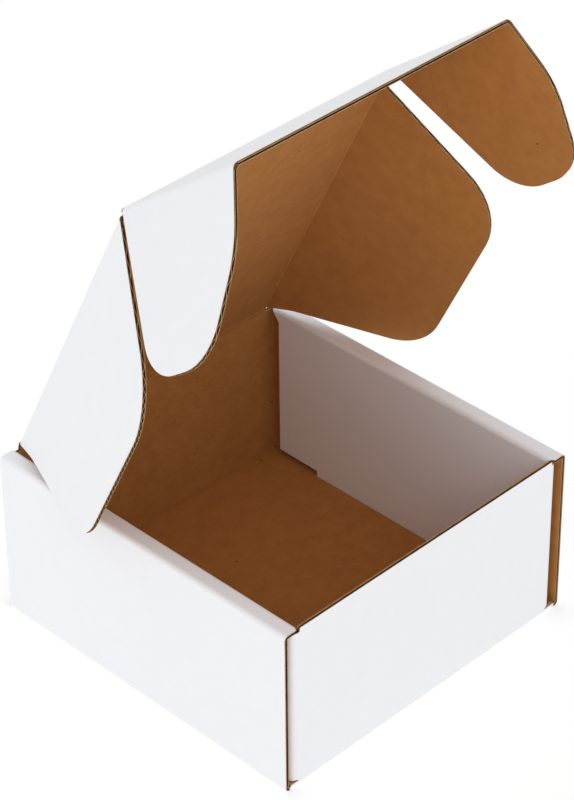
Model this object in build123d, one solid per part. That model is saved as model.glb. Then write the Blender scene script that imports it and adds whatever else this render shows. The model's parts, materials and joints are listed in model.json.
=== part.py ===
"""Corrugated mailer box: a one-piece die-cut sheet with roll-over double side walls,
a hinged lid with two side flaps, and a tuck flap with a rounded ear at each end.

Frame: millimetres, +Z up, front wall towards -Y, lid hinged on the back wall.
The origin is the centre of the underside of the base.
The lid, the flaps and the ears are laid out flat in the plane of the closed lid,
then folded about their creases into the open pose.
"""
import os

from build123d import *

# Board: single-wall E-flute, white outside and brown inside
board = 1.6
fold_inside_radius = 0.4

# Overall size of the tray, over the outside faces
box_width = 158.0
box_depth = 160.0
box_height = 77.0

# Double side walls: outer panel, spine and inner panel
spine_width = 8.0
side_panel_setback = 0.8
spine_back_setback = 3.7
inner_panel_front_setback = 2.6
inner_panel_back_setback = 7.5
inner_panel_shoulder_drop = 6.0
inner_panel_lift = 2.8
lock_tab_length = 100.0
lock_tab_end_gap = 0.2
lock_slot_side_gap = 0.25
lock_slot_end_gap = 0.6

# Front and back walls, with a corner flap folded into each hollow side wall
corner_flap_to_inner_panel_gap = 0.8
corner_flap_length = 58.0
corner_flap_end_chamfer = 12.0
corner_flap_edge_gap = 0.6
back_shoulder_drop = 1.5

# Lid, side flaps, tuck flap and ears
crease_gap = 0.1
ear_to_inner_panel_gap = 0.4
flap_to_ear_gap = 0.3
tuck_to_front_wall_gap = 0.4
tuck_to_base_gap = 0.4
side_flap_to_base_gap = 7.4
side_flap_back_start = 4.3
side_flap_front_end = 4.5
side_flap_back_slope = 0.45
side_flap_front_slope = 0.39
side_flap_back_radius = 25.0
side_flap_front_radius = 32.0
tuck_shoulder_depth = 6.0
ear_reach = 66.5
ear_root_start = 8.0
ear_back_corner = 11.0
ear_tip_width = 38.0
ear_front_straight = 30.0
ear_back_radius = 19.0
ear_tip_radius = 24.0
ear_front_radius = 45.0

# Fold angles of the open pose, in degrees from flat; the lid's is from shut
lid_open_angle = 64.0
left_flap_fold = 65.0
right_flap_fold = 70.0
tuck_fold = 27.0
left_ear_fold = 60.0
right_ear_fold = 75.0

# Worked-out sizes
fold_outside_radius = board + fold_inside_radius
half_width = box_width / 2
half_depth = box_depth / 2
inner_face = half_width - spine_width
corner_slit = spine_width - 3 * board - corner_flap_to_inner_panel_gap
wall_half_width = half_width - board - corner_slit
tuck_half_width = inner_face - ear_to_inner_panel_gap
lid_half_width = tuck_half_width - board - flap_to_ear_gap
lid_length = box_depth - board - tuck_to_front_wall_gap
tuck_depth = box_height - board - tuck_to_base_gap
side_flap_height = box_height - board - side_flap_to_base_gap
overlap = 4 * board


def folded_board(outside, inside):
    """Section of bent board between its outside points and the matching inside points."""
    outer_line = FilletPolyline(*outside, radius=fold_outside_radius)
    inner_line = FilletPolyline(*inside, radius=fold_inside_radius)
    ends = Line(outside[0], inside[0]) + Line(outside[-1], inside[-1])
    return make_face(outer_line + inner_line + ends)


def prism(points, plane, length):
    """Solid with a straight-sided outline on a plane, extruded along its normal."""
    return extrude(plane * make_face(Polyline(*points, close=True)), length)


def rounded_plate(points, radii):
    """Board-thick plate under the closed lid's outer face, with some corners rounded."""
    outline = make_face(Polyline(*points, close=True))
    for corner, radius in radii.items():
        spot = min(outline.vertices(), key=lambda v: (v.center() - Vector(*points[corner])).length)
        outline = fillet(spot, radius)
    return extrude(Pos(0, 0, box_height) * outline, -board)


def crease_bevel(point, side, length):
    """Wedge that bevels a plate's inside edge at 45 degrees along a crease.

    The crease passes through point in the plane of the closed lid, and side points
    from it into the plate. The wedge runs half its length each way along the crease.
    """
    into_plate = Vector(*side, 0)
    along_crease = Vector(0, 0, 1).cross(into_plate)
    plane = Plane(origin=(*point, box_height), x_dir=into_plate, z_dir=along_crease)
    reach = board + 1
    wedge = [
        (-reach, -1),
        (crease_gap, -1),
        (crease_gap, 0),
        (crease_gap + reach, reach),
        (-reach, reach),
    ]
    return extrude(plane * make_face(Polyline(*wedge, close=True)), length / 2, both=True)


def side_wall():
    """Right side wall: outer panel, spine and inner panel rolled from one strip."""
    floor_start = half_width - overlap
    panel_foot = board + inner_panel_lift
    outside = [
        (floor_start, 0),
        (half_width, 0),
        (half_width, box_height),
        (inner_face, box_height),
        (inner_face, panel_foot),
    ]
    inside = [
        (floor_start, board),
        (half_width - board, board),
        (half_width - board, box_height - board),
        (inner_face + board, box_height - board),
        (inner_face + board, panel_foot),
    ]
    length = box_depth - 2 * side_panel_setback
    strip = extrude(Plane.XZ * folded_board(outside, inside), length / 2, both=True)
    back_of_spine = half_depth - spine_back_setback
    back_of_panel = half_depth - inner_panel_back_setback
    shoulder = box_height - inner_panel_shoulder_drop
    back_trim = [
        (back_of_spine, box_height + 1),
        (back_of_spine, box_height - board),
        (back_of_panel, shoulder),
        (back_of_panel, panel_foot - 1),
        (half_depth, panel_foot - 1),
        (half_depth, box_height + 1),
    ]
    front_of_panel = -half_depth + inner_panel_front_setback
    front_trim = [
        (front_of_panel, box_height - board),
        (front_of_panel, panel_foot - 1),
        (-half_depth, panel_foot - 1),
        (-half_depth, box_height - board),
    ]
    trim_plane = Plane.YZ.offset(inner_face - 1)
    trim_width = spine_width - board + 1
    strip -= prism(back_trim, trim_plane, trim_width)
    strip -= prism(front_trim, trim_plane, trim_width)
    tab_height = panel_foot - lock_tab_end_gap
    tab = Box(board, lock_tab_length, tab_height, align=(Align.MIN, Align.CENTER, Align.MIN))
    return strip + Pos(inner_face, 0, lock_tab_end_gap) * tab


def lock_slot():
    """Slot through the base that the right inner panel's lock tab drops into."""
    width = board + 2 * lock_slot_side_gap
    length = lock_tab_length + 2 * lock_slot_end_gap
    slot = Box(width, length, 3 * board)
    return Pos(inner_face + board / 2, 0, board / 2) * slot


def end_wall(full_height_half_width, shoulder_height, flap_top):
    """Front wall with its two corner flaps, standing on the base's front edge."""
    floor_start = -half_depth + overlap
    outside = [(floor_start, 0), (-half_depth, 0), (-half_depth, box_height)]
    inside = [(floor_start, board), (board - half_depth, board), (board - half_depth, box_height)]
    flat_half_width = wall_half_width - fold_outside_radius
    section = Plane.YZ * folded_board(outside, inside)
    wall = extrude(section, flat_half_width, both=True)
    above_shoulder = Box(
        spine_width + overlap,
        overlap,
        box_height,
        align=(Align.MIN, Align.CENTER, Align.MIN),
    )
    cut = Pos(full_height_half_width, -half_depth, shoulder_height) * above_shoulder
    wall -= cut
    wall -= mirror(cut, Plane.YZ)
    flap_foot = fold_outside_radius + corner_flap_edge_gap
    flap_back = -half_depth + corner_flap_length
    outside = [
        (flat_half_width - overlap, -half_depth),
        (wall_half_width, -half_depth),
        (wall_half_width, flap_back),
    ]
    inside = [
        (flat_half_width - overlap, board - half_depth),
        (wall_half_width - board, board - half_depth),
        (wall_half_width - board, flap_back),
    ]
    flap = extrude(Pos(0, 0, flap_foot) * folded_board(outside, inside), flap_top - flap_foot)
    for height, direction in ((flap_foot, 1), (flap_top, -1)):
        corner = [
            (flap_back - corner_flap_end_chamfer, height),
            (flap_back + 1, height),
            (flap_back + 1, height + direction * corner_flap_end_chamfer),
        ]
        flap -= prism(corner, Plane.YZ.offset(half_width - spine_width), spine_width)
    return wall + flap + mirror(flap, Plane.YZ)


def make_tray():
    """Base, double side walls, front wall and back wall, as one folded sheet."""
    base = Box(
        box_width - 2 * fold_outside_radius,
        box_depth - 2 * fold_outside_radius,
        board,
        align=(Align.CENTER, Align.CENTER, Align.MIN),
    )
    spine_underside = box_height - board - corner_flap_edge_gap
    front = end_wall(inner_face - corner_flap_edge_gap, spine_underside, spine_underside)
    back_shoulder = box_height - back_shoulder_drop
    back = end_wall(lid_half_width + crease_gap, back_shoulder, spine_underside)
    right = side_wall()
    slot = lock_slot()
    tray = base + front + mirror(back, Plane.XZ) + right + mirror(right, Plane.YZ)
    tray -= slot
    tray -= mirror(slot, Plane.YZ)
    hinge_bevel = [
        (half_depth + 1, box_height + 1),
        (half_depth + 1, box_height - crease_gap),
        (half_depth, box_height - crease_gap),
        (half_depth - board - 1, box_height - crease_gap - board - 1),
        (half_depth - board - 1, box_height + 1),
    ]
    bevel = prism(hinge_bevel, Plane.YZ.offset(-lid_half_width - 1), 2 * lid_half_width + 2)
    return tray - bevel


def make_lid():
    """Lid panel, bevelled on its inside face along the hinge and the three creases."""
    width = 2 * (lid_half_width - crease_gap)
    length = lid_length - 2 * crease_gap
    outline = Pos(0, half_depth - lid_length / 2, box_height) * Rectangle(width, length)
    return extrude(outline, amount=-board, taper=45)


def make_side_flap():
    """Right side flap, flat beside the lid: a board with slanting ends and round corners."""
    back = half_depth - side_flap_back_start
    front = half_depth - lid_length + side_flap_front_end
    far_edge = lid_half_width + side_flap_height
    points = [
        (lid_half_width, back),
        (far_edge, back - side_flap_back_slope * side_flap_height),
        (far_edge, front + side_flap_front_slope * side_flap_height),
        (lid_half_width, front),
    ]
    plate = rounded_plate(points, {1: side_flap_back_radius, 2: side_flap_front_radius})
    return plate - crease_bevel((lid_half_width, (front + back) / 2), (1, 0), lid_length)


def make_tuck_flap():
    """Tuck flap, flat in front of the lid, as wide as the space between the inner panels."""
    crease = half_depth - lid_length
    shoulder = crease - tuck_shoulder_depth
    free_edge = crease - tuck_depth
    points = [
        (-lid_half_width, crease),
        (lid_half_width, crease),
        (tuck_half_width, shoulder),
        (tuck_half_width, free_edge),
        (-tuck_half_width, free_edge),
        (-tuck_half_width, shoulder),
    ]
    plate = rounded_plate(points, {})
    plate -= crease_bevel((0, crease), (0, -1), box_width)
    ear_crease_middle = (shoulder + free_edge) / 2
    ear_crease_length = shoulder - free_edge + crease_gap
    for side in (1, -1):
        point = (side * tuck_half_width, ear_crease_middle)
        plate -= crease_bevel(point, (-side, 0), ear_crease_length)
    return plate


def make_ear():
    """Right ear, flat beside the tuck flap: a tongue with a round tip."""
    crease = half_depth - lid_length
    root = tuck_half_width
    tip_back = crease - ear_root_start - ear_back_corner
    points = [
        (root, crease - ear_root_start),
        (root + ear_reach, tip_back),
        (root + ear_reach, tip_back - ear_tip_width),
        (root + ear_front_straight, crease - tuck_depth),
        (root, crease - tuck_depth),
    ]
    radii = {1: ear_back_radius, 2: ear_tip_radius, 3: ear_front_radius}
    plate = rounded_plate(points, radii)
    return plate - crease_bevel((root, crease - tuck_depth / 2), (1, 0), tuck_depth + 1)


hinge = Axis((0, half_depth, box_height), (-1, 0, 0))
tuck_crease = Axis((0, half_depth - lid_length, box_height), (-1, 0, 0))
right_flap_crease = Axis((lid_half_width, 0, box_height), (0, 1, 0))
left_flap_crease = Axis((-lid_half_width, 0, box_height), (0, -1, 0))
right_ear_crease = Axis((tuck_half_width, 0, box_height), (0, 1, 0))
left_ear_crease = Axis((-tuck_half_width, 0, box_height), (0, -1, 0))


def open_lid(piece):
    """Swing a piece with the lid about the back hinge."""
    return piece.rotate(hinge, lid_open_angle)


def fold_tuck(piece):
    """Fold a piece down with the tuck flap, then swing it with the lid."""
    return open_lid(piece.rotate(tuck_crease, -tuck_fold))


side_flap = make_side_flap()
ear = make_ear()
sub_parts = {
    "tray": make_tray(),
    "lid": open_lid(make_lid()),
    "side_flap_left": open_lid(mirror(side_flap, Plane.YZ).rotate(left_flap_crease, left_flap_fold)),
    "side_flap_right": open_lid(side_flap.rotate(right_flap_crease, right_flap_fold)),
    "tuck_flap": fold_tuck(make_tuck_flap()),
    "ear_left": fold_tuck(mirror(ear, Plane.YZ).rotate(left_ear_crease, left_ear_fold)),
    "ear_right": fold_tuck(ear.rotate(right_ear_crease, right_ear_fold)),
}

os.makedirs("parts", exist_ok=True)
for name, shape in sub_parts.items():
    export_step(shape, f"parts/{name}.step")
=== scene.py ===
"""Looks of a corrugated mailer box: white-lined E-flute board, folded from one sheet.

Metres, +Z up, front wall towards -Y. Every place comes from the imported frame.
"""
import json
import math

import bmesh
import bpy
import numpy as np
from mathutils import Matrix, Vector


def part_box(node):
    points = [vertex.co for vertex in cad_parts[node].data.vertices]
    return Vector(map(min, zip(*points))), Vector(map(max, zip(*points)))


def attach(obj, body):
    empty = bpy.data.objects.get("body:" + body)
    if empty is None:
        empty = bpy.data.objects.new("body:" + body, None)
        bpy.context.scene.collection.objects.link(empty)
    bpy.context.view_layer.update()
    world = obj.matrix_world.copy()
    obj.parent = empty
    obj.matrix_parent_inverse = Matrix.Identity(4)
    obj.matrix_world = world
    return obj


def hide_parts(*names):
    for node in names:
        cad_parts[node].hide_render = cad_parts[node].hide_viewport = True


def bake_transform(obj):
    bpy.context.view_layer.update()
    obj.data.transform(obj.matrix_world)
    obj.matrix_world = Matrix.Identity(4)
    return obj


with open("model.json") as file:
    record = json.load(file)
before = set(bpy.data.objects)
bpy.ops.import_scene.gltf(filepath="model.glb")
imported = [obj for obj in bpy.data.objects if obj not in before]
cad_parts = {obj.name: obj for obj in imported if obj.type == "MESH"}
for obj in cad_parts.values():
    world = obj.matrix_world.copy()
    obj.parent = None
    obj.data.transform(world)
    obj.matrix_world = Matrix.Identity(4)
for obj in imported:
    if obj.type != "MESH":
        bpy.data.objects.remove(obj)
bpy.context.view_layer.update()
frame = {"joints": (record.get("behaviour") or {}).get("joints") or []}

MM = 0.001


# ---------------------------------------------------------------- base
# The middle of the one die-cut sheet, kraft side up, creased all round. A slot cut along
# each side takes the lock tab of the side wall that rolls down into the tray.

# E-flute board is a white coated liner, a wavy medium and a kraft liner, glued together.
# The flutes run along X in the flat sheet, so an edge cut across them shows the waves
# and one cut along them a dark groove. The real liners and medium are thinner, and are
# drawn as thick as they need to show.
caliper = 1.6 * MM
liner = 0.26 * MM
medium = 0.24 * MM
flute_pitch = 3.3 * MM
flute_height = (caliper - 2 * liner - medium) / 2
rim_step = 0.4 * MM
ribbon_depths = np.array([0.05, 0.5, 1.0, 1.7, 2.6]) * MM


def linear_colour(hex_value):
    """Linear RGBA of an sRGB hex colour, by the sRGB transfer curve."""
    parts = np.array([int(hex_value[i:i + 2], 16) for i in (1, 3, 5)]) / 255
    linear = np.where(parts <= 0.04045, parts / 12.92, ((parts + 0.055) / 1.055) ** 2.4)
    return (*linear, 1.0)


def add(tree, kind, links=(), **settings):
    """Adds one shader node, sets its properties or inputs, and links its inputs."""
    node = tree.nodes.new(kind)
    for key, value in settings.items():
        if key in node.bl_rna.properties:
            setattr(node, key, value)
        else:
            node.inputs[key.replace("_", " ")].default_value = value
    for socket, source in links:
        tree.links.new(source, node.inputs[socket])
    return node


# Scales are per metre: pulp clouds about 6 mm across, fibres about 2 mm long and 0.3 mm
# wide along X, and stray dark fibres about 14 mm apart.
cloud_scale = 170.0
fibre_scale = (500, 3400, 3400)
speck_scale = 70.0
mottle_start = 0.36
mottle_end = 0.64
relief = 0.06 * MM


def paper(name, light, dark, fibre_share, bump_strength, roughness, washboard, speck=0.0):
    """Paper liner: two close tones mixed by cloudy pulp and drawn-out fibres, over the
    faint washboard that a liner has where it sinks between the flutes. speck is how
    large the stray dark fibres in it are, as a share of the 14 mm that lie between them."""
    material = bpy.data.materials.new(name)
    material.use_nodes = True
    tree = material.node_tree
    tree.nodes.clear()
    place = add(tree, "ShaderNodeTexCoord").outputs["Object"]
    cloud = add(tree, "ShaderNodeTexNoise", [("Vector", place)], Scale=cloud_scale, Detail=3.0)
    drawn = add(tree, "ShaderNodeMapping", [("Vector", place)], Scale=fibre_scale)
    fibre = add(tree, "ShaderNodeTexNoise", [("Vector", drawn.outputs[0])], Scale=1.0, Detail=4.0)
    tones = add(tree, "ShaderNodeMix", [("A", cloud.outputs["Fac"]), ("B", fibre.outputs["Fac"])],
                Factor=fibre_share)
    ramp = add(tree, "ShaderNodeValToRGB", [("Fac", tones.outputs["Result"])])
    ramp.color_ramp.elements[0].position = mottle_start
    ramp.color_ramp.elements[0].color = linear_colour(dark)
    ramp.color_ramp.elements[1].position = mottle_end
    ramp.color_ramp.elements[1].color = linear_colour(light)
    shives = add(tree, "ShaderNodeTexVoronoi", [("Vector", place)], Scale=speck_scale)
    stray = add(tree, "ShaderNodeMath", [(0, shives.outputs["Distance"])], operation="LESS_THAN")
    stray.inputs[1].default_value = speck
    colour = add(tree, "ShaderNodeMix", [("Factor", stray.outputs[0]), (6, ramp.outputs["Color"])],
                 data_type="RGBA")
    colour.inputs[7].default_value = linear_colour("#5a3a20")
    phase = add(tree, "ShaderNodeAttribute", attribute_name="flute")
    ridge = add(tree, "ShaderNodeMath", [(0, phase.outputs["Fac"])], operation="SINE")
    ridges = add(tree, "ShaderNodeMath", [(0, ridge.outputs[0])], operation="MULTIPLY")
    ridges.inputs[1].default_value = washboard
    height = add(tree, "ShaderNodeMath", [(0, ridges.outputs[0]), (1, fibre.outputs["Fac"])],
                 operation="ADD")
    bump = add(tree, "ShaderNodeBump", [("Height", height.outputs[0])],
               Strength=bump_strength, Distance=relief)
    shader = add(tree, "ShaderNodeBsdfPrincipled",
                 [("Base Color", colour.outputs[2]), ("Normal", bump.outputs["Normal"])],
                 Roughness=roughness, IOR=1.5)
    add(tree, "ShaderNodeOutputMaterial", [("Surface", shader.outputs[0])])
    return material


# White top liner: clay-coated and calendered, so it is even, smooth and barely glossy.
coated_white = paper("clay_coated_white_liner", "#f2f3f6", "#f0f1f4", 0.5, 0.1, 0.5, 0.4)
# Kraft liner: unbleached, uncoated pulp, so it is brown, mottled and matte.
kraft = paper("unbleached_kraft_liner", "#b87c3c", "#a76b2e", 0.6, 0.4, 0.85, 0.8, 0.035)
# Cut kraft: the same pulp where the die cut through a liner, rougher, paler and fuzzy.
cut_kraft = paper("die_cut_kraft_edge", "#c6a074", "#9a7448", 0.8, 0.6, 0.95, 0.0)
# Fluting: recycled medium, matte, and coloured darker than it is as painted shade. It is on
# the flanks of the waves and on the glued side of both liners, which show only deep in the
# raw edge, as painted shade between the waves. The cut edge of the wave itself is as pale as the
# liners'.
fluting_and_painted_shade = paper("fluting_medium_and_painted_shade", "#5d452c", "#3a2918", 0.7, 0.4, 0.95, 0.0)


def new_piece(name, points, faces, slots, flute):
    """Mesh object of board, with the flutes' phase as a point attribute: two pi times
    the distance across the flutes over their pitch. Faces are turned to point outwards."""
    mesh = bpy.data.meshes.new(name)
    mesh.from_pydata(points.tolist(), [], faces.tolist())
    for material in (coated_white, kraft, cut_kraft, fluting_and_painted_shade):
        mesh.materials.append(material)
    mesh.polygons.foreach_set("material_index", np.asarray(slots, np.int32))
    phase = mesh.attributes.new("flute", "FLOAT", "POINT")
    phase.data.foreach_set("value", (2 * np.pi * flute / flute_pitch).astype(np.float32))
    shell = bmesh.new()
    shell.from_mesh(mesh)
    bmesh.ops.recalc_face_normals(shell, faces=shell.faces)
    shell.to_mesh(mesh)
    shell.free()
    mesh.update()
    piece = bpy.data.objects.new(name, mesh)
    bpy.context.scene.collection.objects.link(piece)
    return piece


def quads(rows, columns, wrap=False):
    """Four corners of each cell of a grid numbered row by row. wrap joins its last row
    to its first."""
    row = np.arange(rows if wrap else rows - 1)[:, None]
    column = np.arange(columns - 1)[None, :]
    after = (row + 1) % rows
    corners = [row * columns + column, row * columns + column + 1,
               after * columns + column + 1, after * columns + column]
    return np.stack(corners, -1).reshape(-1, 4)


def block_rim(columns, i0, i1, j0, j1):
    """Numbers of the points once round the block of grid rows i0..i1, columns j0..j1."""
    i, j = np.arange(i0, i1 + 1), np.arange(j0, j1 + 1)
    return np.concatenate([i0 * columns + j[:-1], i[:-1] * columns + j1,
                           i1 * columns + j[:0:-1], i[:0:-1] * columns + j0])


def board_piece(name, a, b, place, holes=()):
    """A folded panel of board: two closed liners, and a wavy medium round its raw edge.
    holes are blocks (first row, last row, first column, last column) left out of it.

    a, across the flutes, and b, along them, are the panel's grid in the flat sheet, and
    place turns (a, b, depth under the white face) into points. Each liner is that grid
    at two depths, joined round each rim. The medium is a ribbon that follows the rim and
    goes most of a pitch inwards, at mid depth plus a sine of a over the flute pitch.
    """
    rows, columns = a.shape
    cells = quads(rows, columns)
    cell_row, cell_column = np.divmod(np.arange(len(cells)), columns - 1)
    rims = [(block_rim(columns, 0, rows - 1, 0, columns - 1), 1)]
    for i0, i1, j0, j1 in holes:
        inside = (cell_row >= i0) & (cell_row < i1) & (cell_column >= j0) & (cell_column < j1)
        cells, cell_row, cell_column = cells[~inside], cell_row[~inside], cell_column[~inside]
        rims.append((block_rim(columns, i0, i1, j0, j1), -1))
    flat_a, flat_b = a.ravel(), b.ravel()
    points, faces, slots, phases, count = [], [], [], [], 0
    # The glued sides of both liners take the dark fluting colour, painted shade deep in the raw
    # edge.
    for top, bottom, sides in ((0.0, liner, (0, 3)), (caliper - liner, caliper, (3, 1))):
        points += [place(flat_a, flat_b, np.full(a.size, depth)) for depth in (top, bottom)]
        phases += [flat_a, flat_a]
        faces += [cells + count, cells + count + a.size]
        slots += [np.full(len(cells), side) for side in sides]
        for rim, _ in rims:
            after = np.roll(rim, -1)
            faces.append(np.stack([rim, after, after + a.size, rim + a.size], -1) + count)
            slots.append(np.full(len(rim), 2))
        count += 2 * a.size
    for rim, side in rims:
        loop = np.stack([flat_a[rim], flat_b[rim]], -1)
        closed = np.vstack([loop, loop[:1]])
        run = np.r_[0, np.cumsum(np.linalg.norm(np.diff(closed, axis=0), axis=1))]
        n = max(24, int(run[-1] / rim_step))
        at = np.linspace(0, run[-1], n, endpoint=False)
        edge = np.stack([np.interp(at, run, closed[:, i]) for i in (0, 1)], -1)
        tangent = np.roll(edge, -1, 0) - np.roll(edge, 1, 0)
        tangent /= np.linalg.norm(tangent, axis=1)[:, None] + 1e-12
        after = np.roll(loop, -1, 0)
        twice_area = np.sum(loop[:, 0] * after[:, 1] - after[:, 0] * loop[:, 1])
        inward = np.stack([-tangent[:, 1], tangent[:, 0]], -1) * np.sign(twice_area) * side
        ribbon = edge[:, None, :] + inward[:, None, :] * ribbon_depths[None, :, None]
        ribbon_a, ribbon_b = ribbon[..., 0].ravel(), ribbon[..., 1].ravel()
        middle = caliper / 2 + flute_height * np.sin(2 * np.pi * ribbon_a / flute_pitch)
        points += [place(ribbon_a, ribbon_b, middle - medium / 2),
                   place(ribbon_a, ribbon_b, middle + medium / 2)]
        phases += [ribbon_a, ribbon_a]
        deep = len(ribbon_depths)
        sheet = n * deep
        skin = quads(n, deep, wrap=True)
        ends = [np.arange(n) * deep + k for k in (0, deep - 1)]
        caps = [np.stack([e, np.roll(e, -1), np.roll(e, -1) + sheet, e + sheet], -1) for e in ends]
        faces += [skin + count, skin + count + sheet, caps[0] + count, caps[1] + count]
        # The medium's flanks and deep end take the dark fluting colour, painted shade between the
        # waves; its cut edge is pale cut kraft.
        slots.append(np.repeat([3, 2, 3], [2 * len(skin), n, n]))
        count += 2 * sheet
    return new_piece(name, np.vstack(points), np.vstack(faces), np.concatenate(slots),
                     np.concatenate(phases))


def between(low, high, count):
    """Grid with count columns that runs from the low to the high value in each row."""
    share = np.linspace(0, 1, count)
    return low[:, None] + (high - low)[:, None] * share[None, :]


joint = {j["name"]: j for j in frame["joints"]}
low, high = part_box("tray")
half_width, half_depth, wall_top = high.x, high.y, high.z
fold_radius = 2.0 * MM
spine = 8.0 * MM
inner_face = half_width - spine
slot_half_length = 50.6 * MM
slot_play = 0.25 * MM
slot_inside = inner_face - slot_play
slot_outside = inner_face + caliper + slot_play
base_half_width = half_width - fold_radius
base_half_depth = half_depth - fold_radius


def base_place(a, b, depth):
    """The flat sheet as it lies: b along X, a along Y and depth straight up."""
    return np.stack([b, a, depth], -1)


base_rows = np.r_[-base_half_depth, -slot_half_length, slot_half_length, base_half_depth]
base_columns = np.r_[-base_half_width, -slot_outside, np.linspace(-slot_inside, slot_inside, 13),
                     slot_outside, base_half_width]
base_a, base_b = np.meshgrid(base_rows, base_columns, indexing="ij")
last = len(base_columns) - 1
base_slots = [(1, 2, 1, 2), (1, 2, last - 2, last - 1)]
base = board_piece("base", base_a, base_b, base_place, base_slots)
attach(base, "tray")
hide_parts("tray")


# ---------------------------------------------------------------- rolled side walls
# Each is one strip of the sheet: an outer panel up from the base, a narrow spine across
# the top and an inner panel rolled down inside, held by a lock tab in the base's slot.
# The flutes run up the strip, so its front and back edges show a dark groove.

panel_setback = 0.8 * MM
front_setback = 0.1 * MM
inner_front = 2.6 * MM
inner_back = 7.5 * MM
shoulder_drop = 6.0 * MM
panel_lift = 2.8 * MM
tab_half = 50.0 * MM
tab_end = 0.2 * MM
trim_step = 0.25 * MM
right_spine_back = 3.7 * MM


def bent(path, radius, steps=9):
    """Points along a path with each corner rounded to a radius, and the run along it.
    Each corner is an arc that starts and ends the radius times the tangent of half the
    turn away from it."""
    path = np.asarray(path, float)
    points = [path[:1]]
    for before, corner, after in zip(path[:-2], path[1:-1], path[2:]):
        back = (before - corner) / np.linalg.norm(before - corner)
        on = (after - corner) / np.linalg.norm(after - corner)
        half_turn = (math.pi - math.acos(np.clip(back @ on, -1, 1))) / 2
        middle = (back + on) / np.linalg.norm(back + on)
        across = (on - back) / np.linalg.norm(on - back)
        centre = corner + middle * radius / math.cos(half_turn)
        sweep = np.linspace(-half_turn, half_turn, steps)[:, None]
        points.append(centre - middle * radius * np.cos(sweep) + across * radius * np.sin(sweep))
    points = np.vstack([*points, path[-1:]])
    return points, np.r_[0, np.cumsum(np.linalg.norm(np.diff(points, axis=0), axis=1))]


def at_depth(points, run, s, depth, side):
    """Points at runs s along a bent path, moved by depth to one side. The side is the
    path's way there, taken over a short step, turned a quarter turn."""
    step = 0.1 * MM
    near = [np.stack([np.interp(np.clip(s + d, 0, run[-1]), run, points[:, i]) for i in (0, 1)], -1)
            for d in (-step, 0, step)]
    way = near[2] - near[0]
    way /= np.linalg.norm(way, axis=1)[:, None]
    return near[1] + np.stack([-way[:, 1], way[:, 0]], -1) * (depth * side)[:, None]


def side_wall(name, side, spine_back):
    """Side wall at +X for side 1, or -X for side -1, as one rolled strip, whose spine
    stops short of the back by spine_back."""
    path, run = bent([(half_width, fold_radius), (half_width, wall_top), (inner_face, wall_top),
                      (inner_face, tab_end)], fold_radius)

    def place(a, b, depth):
        """The strip's run b carried round its profile, with a along Y."""
        profile = at_depth(path, run, b, depth, 1.0)
        return np.stack([side * profile[:, 0], a, profile[:, 1]], -1)

    top_run = np.interp(wall_top - fold_radius, path[:, 1][:3], run[:3])
    down = run[-1] - (caliper + panel_lift - tab_end)
    shoulder = run[-1] - (wall_top - shoulder_drop - tab_end)
    corner = top_run + math.pi / 2 * fold_radius
    knee = corner + (spine - 2 * fold_radius)
    panel = half_depth - panel_setback
    front = front_setback - half_depth
    spine_end = half_depth - spine_back
    inner_low, inner_high = inner_front - half_depth, half_depth - inner_back
    # Each station is a run along the strip with its front and back end there.
    stations = np.array([
        (0, front, panel), (top_run, front, panel), (corner, front, panel),
        (corner + trim_step, front, spine_end), (knee, front, spine_end),
        (knee + fold_radius, inner_low, spine_end), (shoulder, inner_low, inner_high),
        (down, inner_low, inner_high), (down + trim_step, -tab_half, tab_half),
        (run[-1], -tab_half, tab_half)])
    s = np.unique(np.r_[stations[:, 0], run, np.linspace(0, run[-1], 40)])
    low_y = np.interp(s, stations[:, 0], stations[:, 1])
    high_y = np.interp(s, stations[:, 0], stations[:, 2])
    a = between(low_y, high_y, 31)
    b = np.repeat(s[:, None], 31, 1)
    wall = board_piece(name, a, b, place)
    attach(wall, "tray")


side_wall("side_wall_right", 1, right_spine_back)
side_wall("side_wall_left", -1, panel_setback)


# ---------------------------------------------------------------- front and back walls
# Single panels creased up from the base. At each end a corner flap turns back into the
# hollow side wall, so the wall's end is a rounded fold beside a narrow open slit.

corner_slit = 2.4 * MM
wall_half_width = half_width - caliper - corner_slit
corner_flap = 56.0 * MM
flap_lift = 0.6 * MM
step_play = 0.1 * MM
spine_play = 0.2 * MM
front_fold_radius = 3.5 * MM
front_shift = -0.7 * MM


def end_wall(name, facing, top, half_top, shoulder, radius, shift):
    """Wall across the front (facing -1) or the back (facing 1), up to top within
    half_top of the box's middle and up to shoulder past it. Its corner flaps fold round
    the radius, and the whole wall sits off the middle by the shift."""
    flap_tip = half_depth - corner_flap
    plan, run = bent([(-wall_half_width, flap_tip), (-wall_half_width, half_depth),
                      (wall_half_width, half_depth), (wall_half_width, flap_tip)], radius)
    middle = run[-1] / 2

    def place(a, b, depth):
        """The sheet's b carried round the wall's plan, with a straight up."""
        plan_point = at_depth(plan, run, b + middle, depth, -1.0)
        return np.stack([plan_point[:, 0] + shift, facing * plan_point[:, 1], a], -1)

    bend = wall_half_width - radius
    across = np.linspace(-half_top, half_top, 33)
    across = np.r_[-half_top - trim_step, across, half_top + trim_step]
    s = np.unique(np.r_[run - middle, across - shift])
    foot = np.where(np.abs(s) > bend, fold_radius + flap_lift, fold_radius)
    head = np.where(np.abs(s + shift) > half_top + trim_step / 2, shoulder, top)
    a = between(foot, head, 22)
    wall = board_piece(name, a, np.repeat(s[:, None], 22, 1), place)
    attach(wall, "tray")


end_wall("front_wall", -1, wall_top, inner_face - step_play, wall_top - caliper - spine_play,
         front_fold_radius, front_shift)
lid_half_width = abs(joint["side_flap_right_fold"]["pos_m"][0])
hinge_reach = 1.9 * MM
back_top = wall_top - hinge_reach
end_wall("back_wall", 1, back_top, lid_half_width, back_top, fold_radius, 0)


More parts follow.
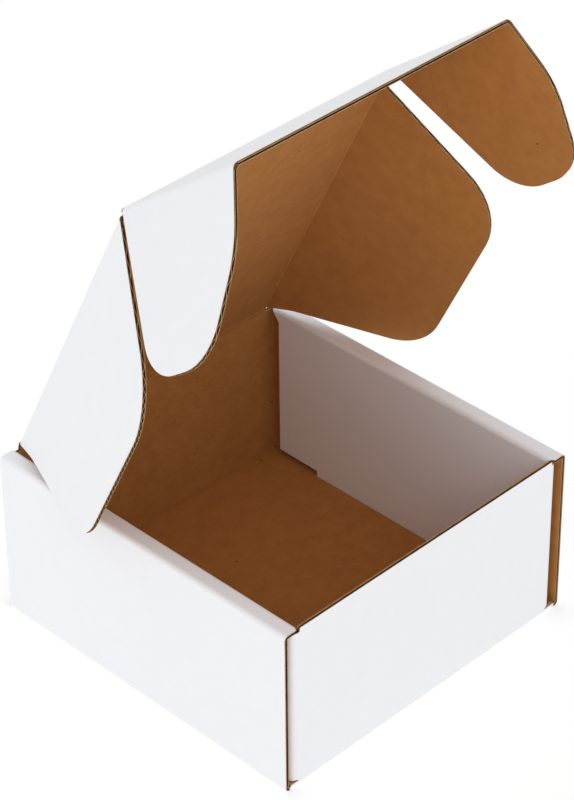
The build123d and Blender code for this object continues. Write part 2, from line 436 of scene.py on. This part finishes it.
# ---------------------------------------------------------------- creases
# Where the sheet folds, the white liner wraps round the outside in a soft curve and the
# kraft inside is crushed into a narrow bead. The creases between the lid and its flaps
# are fixed where they lie at rest, on no part.

up = np.array([0, 0, 1.0])
arc_cells = 8


def crease(name, start, corner, end, inside_start, inside_end, way, length, bodies, pinch):
    """Bent strip of board between two panels.

    Its outside is a quadratic curve from start by corner to end. Its inside is one from
    inside_start to inside_end, drawn away from the corner by pinch of the distance
    between them, which leaves the bead. The section is carried along way for length,
    centred on start.
    """
    t = np.linspace(0, 1, arc_cells + 1)[:, None]
    start, corner, end, inside_start, inside_end, way = (
        np.array(v, float) for v in (start, corner, end, inside_start, inside_end, way))
    outside = (1 - t) ** 2 * start + 2 * t * (1 - t) * corner + t ** 2 * end
    middle = (inside_start + inside_end) / 2
    pull = middle + (middle - corner) * pinch
    inside = (1 - t) ** 2 * inside_start + 2 * t * (1 - t) * pull + t ** 2 * inside_end
    section = np.vstack([outside, inside[::-1]])
    stretch = np.linspace(-length / 2, length / 2, 40)
    points = (section[:, None, :] + stretch[None, :, None] * way[None, None, :]).reshape(-1, 3)
    m, n = len(section), len(stretch)
    skin = quads(m, n, wrap=True)
    cell = np.divmod(np.arange(len(skin)), n - 1)[0]
    on_inside = (cell > arc_cells) & (cell < m - 1)
    faces, slots = [skin], [np.where(cell < arc_cells, 0, np.where(on_inside, 1, 2))]
    # Each end is the raw edge: a liner's thickness at each face, and between them a flat band of
    # the dark fluting colour, painted shade for the hollow flutes.
    arc = np.arange(arc_cells + 1)
    for k in (0, n - 1):
        bands = [arc * n + k]
        for share in (liner / caliper, 1 - liner / caliper):
            bands.append(len(points) + arc)
            ends = (outside * (1 - share) + inside * share) + stretch[k] * way
            points = np.vstack([points, ends])
        bands.append((m - 1 - arc) * n + k)
        for near, far, slot in zip(bands[:-1], bands[1:], (2, 3, 2)):
            faces.append(np.stack([near[:-1], near[1:], far[1:], far[:-1]], -1))
            slots.append(np.full(arc_cells, slot))
    piece = new_piece(name, points, np.vstack(faces), np.concatenate(slots),
                      np.zeros(len(points)))
    if len(bodies) == 2:
        tuple(start)
        tuple(end)
        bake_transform(piece)
    else:
        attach(piece, bodies[0])


def base_crease(name, outward, way, low_end, high_end):
    """Crease between the base's edge and a wall, round the bottom corner, that runs
    along way from its low to its high end."""
    outward = np.array(outward, float)
    reach = half_width if abs(outward[0]) > 0.5 else half_depth
    corner = outward * reach + np.array(way) * (low_end + high_end) / 2
    start, end = corner - outward * fold_radius, corner + up * fold_radius
    crease(name, start, corner, end, start + up * caliper, end - outward * caliper, way,
           high_end - low_end, ["tray"], pinch=-0.3)


crease_half_width = wall_half_width + 1.5 * MM
for side, side_word, end_word in ((-1, "left", "front"), (1, "right", "back")):
    base_crease(f"base_crease_{side_word}", (side, 0, 0), (0, 1, 0), front_setback - half_depth,
                half_depth - panel_setback)
    base_crease(f"base_crease_{end_word}", (0, side, 0), (1, 0, 0), -crease_half_width,
                crease_half_width)


# ---------------------------------------------------------------- lid
# The panel that the back wall carries on into. Its free parts are laid out in its own
# plane as the flat sheet has them, and each is folded at its crease from there.

hinge = np.array(joint["lid_hinge"]["pos_m"])
lid_end = np.array(joint["tuck_flap_fold"]["pos_m"])
lid_length = np.linalg.norm(lid_end - hinge)
lid_way = (lid_end - hinge) / lid_length
across_way = np.array([1.0, 0, 0])
lid_outward = np.cross(lid_way, across_way)


def fold(name):
    """Rotation that folds the flat sheet at a joint into its rest pose. A joint's high
    limit is flat, so this turns it back by that much about its axis."""
    at = Vector(joint[name]["pos_m"])
    angle = -math.radians(joint[name]["range_deg"][1])
    turn = Matrix.Rotation(angle, 4, Vector(joint[name]["axis"]))
    return np.array(Matrix.Translation(at) @ turn @ Matrix.Translation(-at))


def sheet_place(*folds):
    """Placing function for a panel of the lid's sheet: the flat point, a down the lid
    and b across it, then each fold. The first fold given is the nearest to the lid and
    is about an axis at its rest place, so it is applied first."""
    matrix = np.eye(4)
    for step in folds:
        matrix = step @ matrix

    def place(a, b, depth):
        flat = (hinge + a[:, None] * lid_way + b[:, None] * across_way
                - depth[:, None] * lid_outward)
        return flat @ matrix[:3, :3].T + matrix[:3, 3]

    return place


crease_half = 1.9 * MM
lid_u = np.linspace(hinge_reach, lid_length - crease_half, 40)
lid_x = np.linspace(-lid_half_width + crease_half, lid_half_width - crease_half, 36)
lid_a, lid_b = np.meshgrid(lid_u, lid_x, indexing="ij")
lid = board_piece("lid_panel", lid_a, lid_b, sheet_place())
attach(lid, "lid")
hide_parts("lid")

hinge_low, hinge_high = hinge - up * hinge_reach, hinge + lid_way * hinge_reach
crease("hinge_crease", hinge_low, hinge, hinge_high, hinge_low - np.array([0, caliper, 0]),
       hinge_high - lid_outward * caliper, across_way, 2 * lid_half_width, ["tray", "lid"],
       pinch=0.15)


# ---------------------------------------------------------------- side flaps
# Boards with slanting ends and round corners, creased to the lid's sides. Their free
# edges cut straight across the flutes and show the waves.

flap_start = 4.3 * MM
flap_root = 1.7 * MM
root_reach = 12 * MM
flap_end = 4.5 * MM
flap_height = 68.0 * MM
back_slope = 0.45
front_slope = 0.39
crease_trim = 2 * MM


def rounded(corners, radii, steps=14):
    """Outline through corners, each rounded by its radius, as (out, along) points."""
    corners = np.asarray(corners, float)
    line = [corners[:1]]
    for k in range(1, len(corners) - 1):
        part, _ = bent(corners[k - 1:k + 2], radii[k - 1], steps)
        line.append(part[1:-1])
    return np.vstack([*line, corners[-1:]])


def flap_grid(near, far, reach, columns=26):
    """Grid of a flap between two sides given as (out, along) outlines that run outwards.
    Rows crowd towards the tip as a quarter sine, so that round corners stay smooth."""
    out = crease_half + (reach - crease_half) * np.sin(np.linspace(0, math.pi / 2, 64))
    near_edge = np.interp(out, near[:, 0], near[:, 1])
    far_edge = np.interp(out, far[:, 0], far[:, 1])
    return np.repeat(out[:, None], columns, 1), between(near_edge, far_edge, columns)


def split_outline(outline, reach):
    """The two halves of an outline: outwards along its first side to the tip, and
    outwards along its last side to the tip."""
    tip = np.flatnonzero(outline[:, 0] > reach - 1e-7)
    return outline[:tip[0] + 1], outline[tip[-1]:][::-1]


# The back end slants most over the root, and from there both ends slant to the tip.
flap_outline = rounded(
    [(0, flap_root), (root_reach, flap_start + back_slope * root_reach),
     (flap_height, flap_start + back_slope * flap_height),
     (flap_height, lid_length - flap_end - front_slope * flap_height),
     (0, lid_length - flap_end)],
    [20 * MM, 25 * MM, 32 * MM])
flap_near, flap_far = split_outline(flap_outline, flap_height)
flap_out, flap_u = flap_grid(flap_near, flap_far, flap_height)


def fold_crease(name, joint_name, parent_way, outward, along, length, corner, bodies):
    """Crease at a joint, centred on corner. parent_way leads from the crease into the
    parent's panel, whose white face looks outward. The child's side is the parent's
    mirror image, folded."""
    turn = fold(joint_name)[:3, :3]
    start, end = corner + parent_way * crease_half, corner - turn @ parent_way * crease_half
    crease(name, start, corner, end, start - outward * caliper,
           end - turn @ outward * caliper, along, length, bodies, pinch=0.1)


flap_width = lid_length - flap_root - flap_end
flap_middle = hinge + lid_way * (flap_root + flap_width / 2)
for side, body in ((-1, "side_flap_left"), (1, "side_flap_right")):
    flap = board_piece(f"{body}_board", flap_u, side * (lid_half_width + flap_out),
                       sheet_place(fold(f"{body}_fold")))
    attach(flap, body)
    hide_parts(body)
    fold_crease(f"{body}_crease", f"{body}_fold", -side * across_way, lid_outward, lid_way,
                flap_width - crease_trim, flap_middle + side * lid_half_width * across_way,
                ["lid", body])


# ---------------------------------------------------------------- tuck flap and ears
# The tuck flap is creased to the lid's front edge and is almost as wide as the tray
# inside. Its free edge runs along the flutes, so it is a dark groove. An ear with a
# round tip is creased to each of its ends.

tuck_half_width = abs(joint["ear_right_fold"]["pos_m"][0])
tuck_depth = 75.0 * MM
tuck_shoulder = 6.0 * MM
tuck_fold = fold("tuck_flap_fold")
tuck_u = np.linspace(lid_length + crease_half, lid_length + tuck_depth, 26)
tuck_end = tuck_half_width - crease_half
tuck_side = np.interp(tuck_u - lid_length, [0, tuck_shoulder, tuck_depth],
                      [lid_half_width, tuck_end, tuck_end])
tuck = board_piece("tuck_flap_board", np.repeat(tuck_u[:, None], 44, 1),
                   between(-tuck_side, tuck_side, 44), sheet_place(tuck_fold))
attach(tuck, "tuck_flap")
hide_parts("tuck_flap")
fold_crease("tuck_crease", "tuck_flap_fold", -lid_way, lid_outward, across_way,
            2 * lid_half_width, lid_end, ["lid", "tuck_flap"])

ear_reach = 66.5 * MM
ear_start = 2.4 * MM
ear_tip_start = 20 * MM
ear_tip_end = 57 * MM
ear_straight = 30 * MM
ear_outline = rounded(
    [(0, ear_start), (ear_reach, ear_tip_start), (ear_reach, ear_tip_end),
     (ear_straight, tuck_depth), (0, tuck_depth)],
    [19 * MM, 24 * MM, 45 * MM])
ear_near, ear_far = split_outline(ear_outline, ear_outline[:, 0].max())
ear_out, ear_along = flap_grid(ear_near, ear_far, ear_outline[:, 0].max())
tuck_turn = tuck_fold[:3, :3]

for side, body in ((-1, "ear_left"), (1, "ear_right")):
    ear = board_piece(f"{body}_board", lid_length + ear_along,
                      side * (tuck_half_width + ear_out),
                      sheet_place(tuck_fold, fold(f"{body}_fold")))
    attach(ear, body)
    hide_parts(body)
    root = (lid_end + lid_way * (ear_start + tuck_depth) / 2
            + side * tuck_half_width * across_way)
    fold_crease(f"{body}_crease", f"{body}_fold", -side * across_way,
                tuck_turn @ lid_outward, tuck_turn @ lid_way, tuck_depth - ear_start,
                tuck_turn @ root + tuck_fold[:3, 3], ["tuck_flap", body])


# ---------------------------------------------------------------- studio
# A pale floor, a wide soft light above and in front, a fill from the left, and a
# bright surround.

floor_mesh = bpy.data.meshes.new("floor")
floor_mesh.from_pydata([(-6, -6, 0), (6, -6, 0), (6, 6, 0), (-6, 6, 0)], [], [(0, 1, 2, 3)])
floor = bpy.data.objects.new("floor", floor_mesh)
bpy.context.scene.collection.objects.link(floor)
floor_paint = bpy.data.materials.new("pale_studio_floor")
floor_paint.use_nodes = True
floor_shader = floor_paint.node_tree.nodes["Principled BSDF"]
floor_shader.inputs["Base Color"].default_value = linear_colour("#fbfbfb")
floor_shader.inputs["Roughness"].default_value = 0.9
floor_shader.inputs["Emission Color"].default_value = (1, 1, 1, 1)
floor_shader.inputs["Emission Strength"].default_value = 0.2
floor_mesh.materials.append(floor_paint)


def soft_light(name, place, target, size, watts):
    """Square area light turned to face a target."""
    data = bpy.data.lights.new(name, "AREA")
    data.size = size
    data.energy = watts
    lamp = bpy.data.objects.new(name, data)
    lamp.location = place
    lamp.rotation_euler = (Vector(target) - Vector(place)).to_track_quat("-Z", "Y").to_euler()
    bpy.context.scene.collection.objects.link(lamp)


soft_light("key", (-1.0, -1.5, 1.7), (0, 0, 0.1), 1.0, 5)
soft_light("left_fill", (-2.0, 0.4, 0.6), (0, 0, 0.1), 1.0, 2.5)
world = bpy.data.worlds.new("studio")
world.use_nodes = True
world.node_tree.nodes["Background"].inputs["Color"].default_value = (1, 1, 1, 1)
world.node_tree.nodes["Background"].inputs["Strength"].default_value = 0.8
bpy.context.scene.world = world
bpy.context.scene.view_settings.view_transform = "Standard"

camera_data = bpy.data.cameras.new("camera")
camera_data.sensor_width = 36
camera_data.lens = 141.2
camera = bpy.data.objects.new("camera", camera_data)
azimuth, elevation, roll = math.radians(-44.91), math.radians(35.78), math.radians(-0.56)
camera_distance = 1.0714
towards_camera = Vector((math.sin(azimuth) * math.cos(elevation),
                         -math.cos(azimuth) * math.cos(elevation), math.sin(elevation)))
camera_target = Vector((-0.0883, -0.0918, 0.1956))
camera.location = camera_target + towards_camera * camera_distance
level = (-towards_camera).to_track_quat("-Z", "Y").to_matrix()
camera.rotation_euler = (level @ Matrix.Rotation(roll, 3, "Z")).to_euler()
bpy.context.scene.collection.objects.link(camera)
bpy.context.scene.camera = camera
